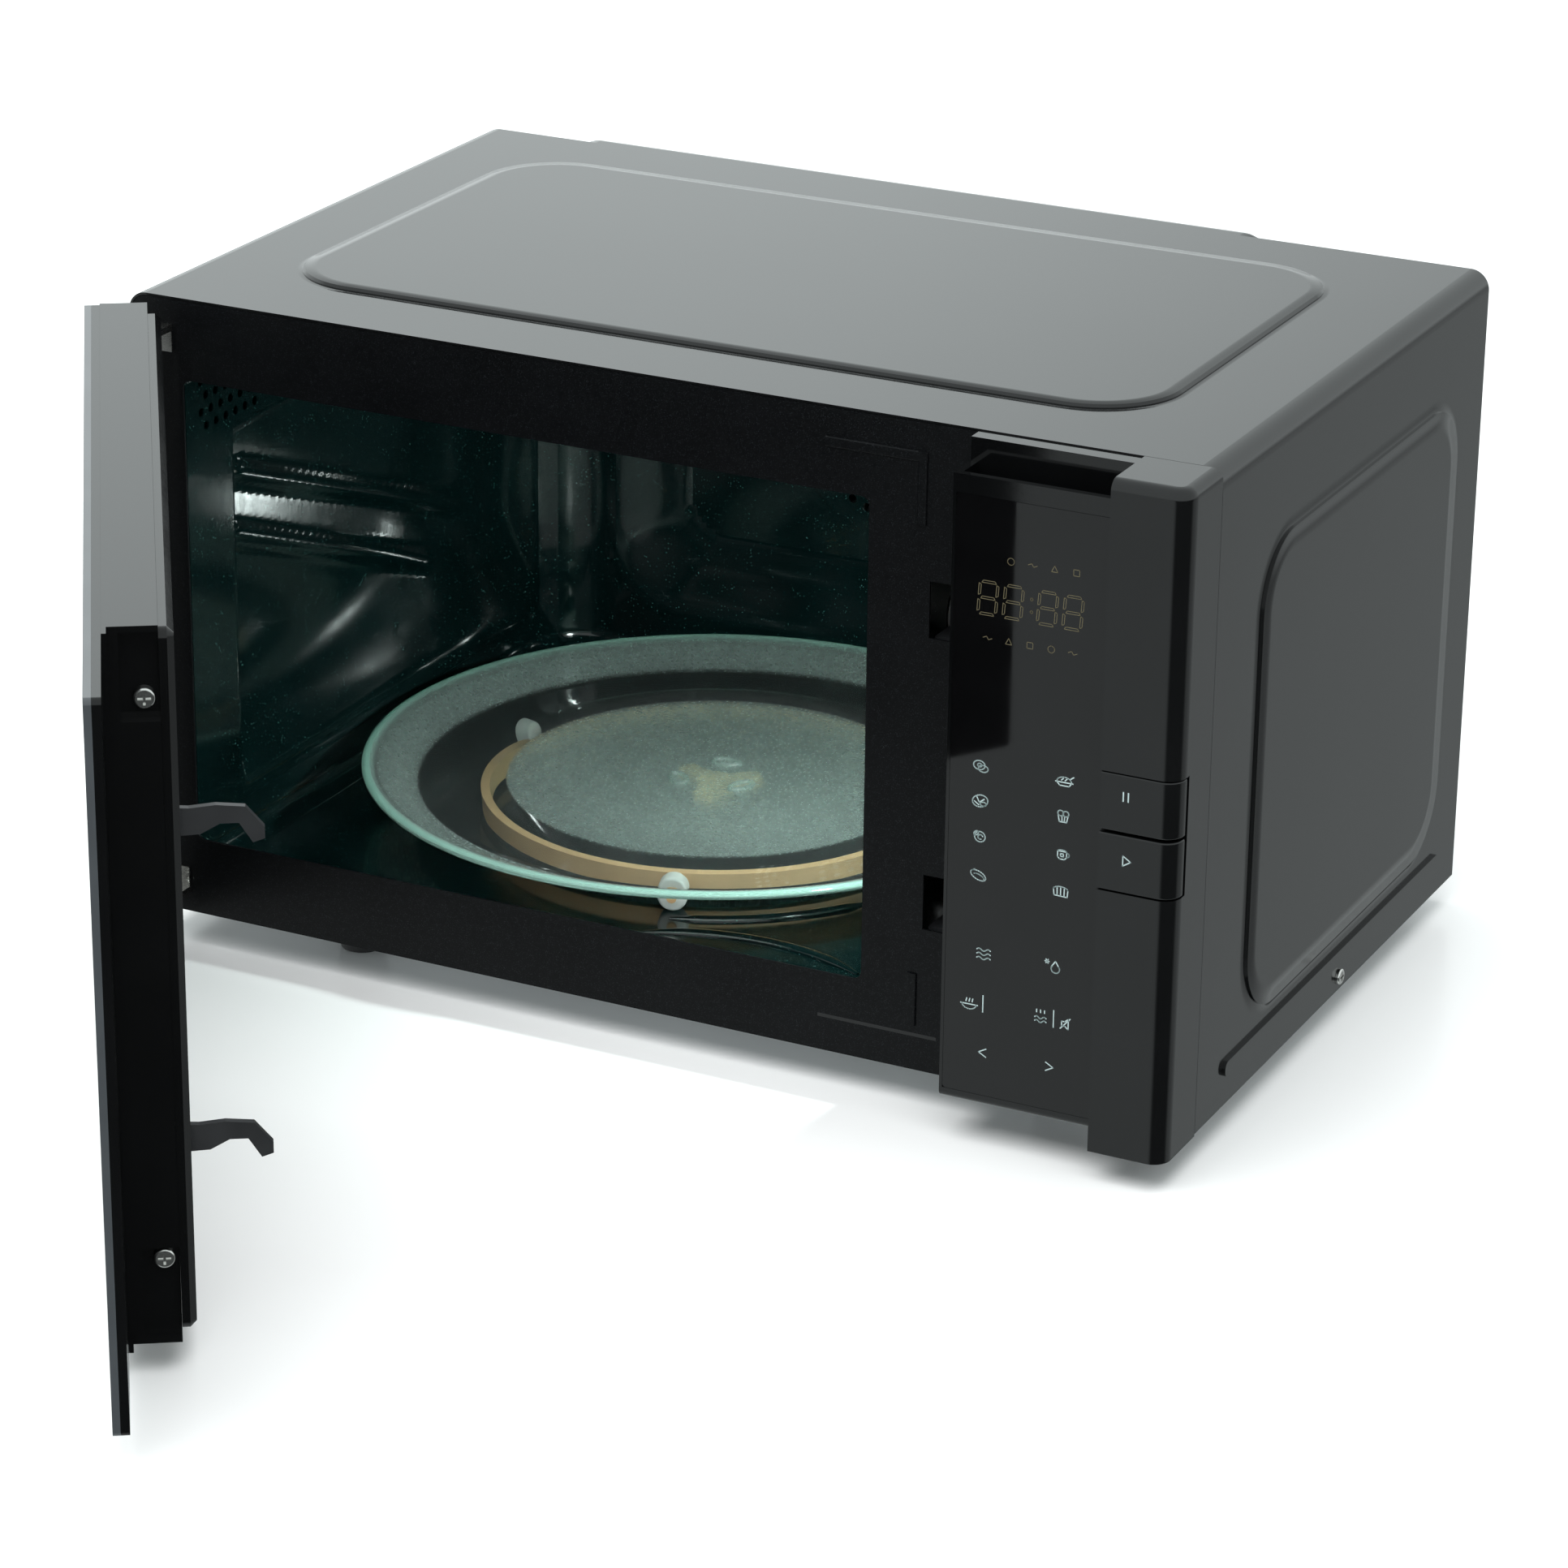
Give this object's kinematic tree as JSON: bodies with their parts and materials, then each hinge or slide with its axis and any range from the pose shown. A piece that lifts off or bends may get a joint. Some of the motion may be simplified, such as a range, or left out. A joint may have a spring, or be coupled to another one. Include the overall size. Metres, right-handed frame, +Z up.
{
  "type": "microwave oven",
  "caption": "Countertop microwave oven with a left-hinged glass door, glass turntable on a roller ring, touch panel and push buttons.",
  "frame": {"origin": "middle of the whole box with the door open, at the bottom of the feet", "axes": "+X to the oven's right, +Y to its back, +Z up"},
  "size_m": [0.5238, 0.8091, 0.3076],
  "materials": {
    "casing_paint": "gloss",
    "front_enamel": "semi-gloss enamel with a fine speckle",
    "cavity_enamel": "semi-gloss speckled enamel",
    "gloss_black_plastic": "gloss",
    "matte_black_plastic": "satin",
    "dark_grey_plastic": "satin",
    "touch_glass": "back-printed black",
    "door_glass": "tinted",
    "clear_glass": "clear",
    "beige_plastic": "satin",
    "white_plastic": "satin",
    "rubber": "matte",
    "zinc_steel": "zinc plated",
    "galvanised_steel": "galvanised",
    "screw_steel": "passivated zinc",
    "heater_steel": "oxidised",
    "mica": "pressed mica sheet",
    "windings": "lacquered wire",
    "board": "solder mask",
    "display": "lit digits",
    "aluminium": "plain",
    "spring_steel": "plain"
  },
  "bodies": {
    "cabinet": {"outer_casing": "casing_paint", "base_plate": "galvanised_steel", "feet": "rubber", "rear_panel": "casing_paint", "rear_housing": "casing_paint", "front_plate": "front_enamel", "cavity_liner": "cavity_enamel", "convection_cover": "cavity_enamel", "waveguide_cover": "mica", "grill_element": "heater_steel", "grill_clips": "zinc_steel", "turntable_motor": "galvanised_steel", "control_bezel": "gloss_black_plastic", "control_glass": "touch_glass", "display_module": "display", "control_board": "board", "pillar": "gloss_black_plastic", "switch_board": "board", "magnetron": "aluminium", "transformer": "windings", "capacitor": "aluminium", "diode": "matte_black_plastic", "cooling_shroud": "matte_black_plastic", "cooling_motor": "galvanised_steel", "filter_board": "board", "cord_gland": "matte_black_plastic", "interlock_bracket": "dark_grey_plastic", "interlock_switches": "dark_grey_plastic", "cavity_lamp": "white_plastic", "thermal_cutouts": "matte_black_plastic", "convection_heater": "heater_steel", "fan_chamber": "galvanised_steel", "convection_motor": "galvanised_steel", "hinge_upper": "zinc_steel", "hinge_lower": "zinc_steel", "casing_screws": "screw_steel", "housing_screws": "screw_steel"},
    "door": {"door_glass": "door_glass", "door_carrier": "matte_black_plastic", "door_frame": "gloss_black_plastic", "choke_frame": "front_enamel", "door_screen": "front_enamel", "inner_window": "door_glass", "door_lip": "matte_black_plastic", "latch_spring": "spring_steel", "latch_guide": "matte_black_plastic", "door_screws": "screw_steel"},
    "latch": {"latch_bar": "dark_grey_plastic"},
    "stop_button": {"stop_button": "gloss_black_plastic"},
    "start_button": {"start_button": "gloss_black_plastic"},
    "turntable": {"glass_plate": "clear_glass", "drive_coupler": "beige_plastic"},
    "roller_ring": {"roller_ring": "beige_plastic"},
    "cooling_fan": {"cooling_fan": "matte_black_plastic"},
    "convection_fan": {"convection_fan": "galvanised_steel"},
    "roller_1": {"roller_1": "white_plastic"},
    "roller_2": {"roller_2": "white_plastic"},
    "roller_3": {"roller_3": "white_plastic"}
  },
  "joints": [
    {"name": "door_hinge", "type": "hinge", "parent": "cabinet", "child": "door", "pos_m": [-0.249, -0.0025, 0.159], "axis": [0, 0, -1], "range_deg": [-56.5, 43.5]},
    {"name": "latch_slide", "type": "slide", "parent": "door", "child": "latch", "axis": [0, 0, 1], "range_m": [0, 0.004], "stiffness_N_per_m": 400, "springref_m": -0.005, "deforming": ["latch_spring"]},
    {"name": "stop_press", "type": "slide", "parent": "cabinet", "child": "stop_button", "axis": [0, 1, 0], "range_m": [0, 0.0015], "stiffness_N_per_m": 900, "springref_m": -0.0005},
    {"name": "start_press", "type": "slide", "parent": "cabinet", "child": "start_button", "axis": [0, 1, 0], "range_m": [0, 0.0015], "stiffness_N_per_m": 900, "springref_m": -0.0005},
    {"name": "turntable_spin", "type": "hinge", "parent": "cabinet", "child": "turntable", "pos_m": [-0.051, 0.1865, 0.053], "axis": [0, 0, 1], "continuous": true},
    {"name": "ring_spin", "type": "hinge", "parent": "cabinet", "child": "roller_ring", "pos_m": [-0.051, 0.1865, 0.046], "axis": [0, 0, 1], "continuous": true},
    {"name": "cooling_fan_spin", "type": "hinge", "parent": "cabinet", "child": "cooling_fan", "pos_m": [0.194, 0.3145, 0.161], "axis": [0, 1, 0], "continuous": true},
    {"name": "convection_fan_spin", "type": "hinge", "parent": "cabinet", "child": "convection_fan", "pos_m": [-0.052, 0.38, 0.164], "axis": [0, 1, 0], "continuous": true},
    {"name": "roller_1_spin", "type": "hinge", "parent": "roller_ring", "child": "roller_1", "pos_m": [-0.16447, 0.21062, 0.046], "axis": [-0.9781, 0.2079, 0], "continuous": true},
    {"name": "roller_2_spin", "type": "hinge", "parent": "roller_ring", "child": "roller_2", "pos_m": [-0.01515, 0.07618, 0.046], "axis": [0.309, -0.9511, 0], "continuous": true},
    {"name": "roller_3_spin", "type": "hinge", "parent": "roller_ring", "child": "roller_3", "pos_m": [0.02662, 0.2727, 0.046], "axis": [0.6691, 0.7431, 0], "continuous": true}
  ],
  "couplings": [
    {"joint": "ring_spin", "follows": "turntable_spin", "ratio": 0.5},
    {"joint": "roller_1_spin", "follows": "turntable_spin", "ratio": -8.2857},
    {"joint": "roller_2_spin", "follows": "turntable_spin", "ratio": -8.2857},
    {"joint": "roller_3_spin", "follows": "turntable_spin", "ratio": -8.2857}
  ]
}
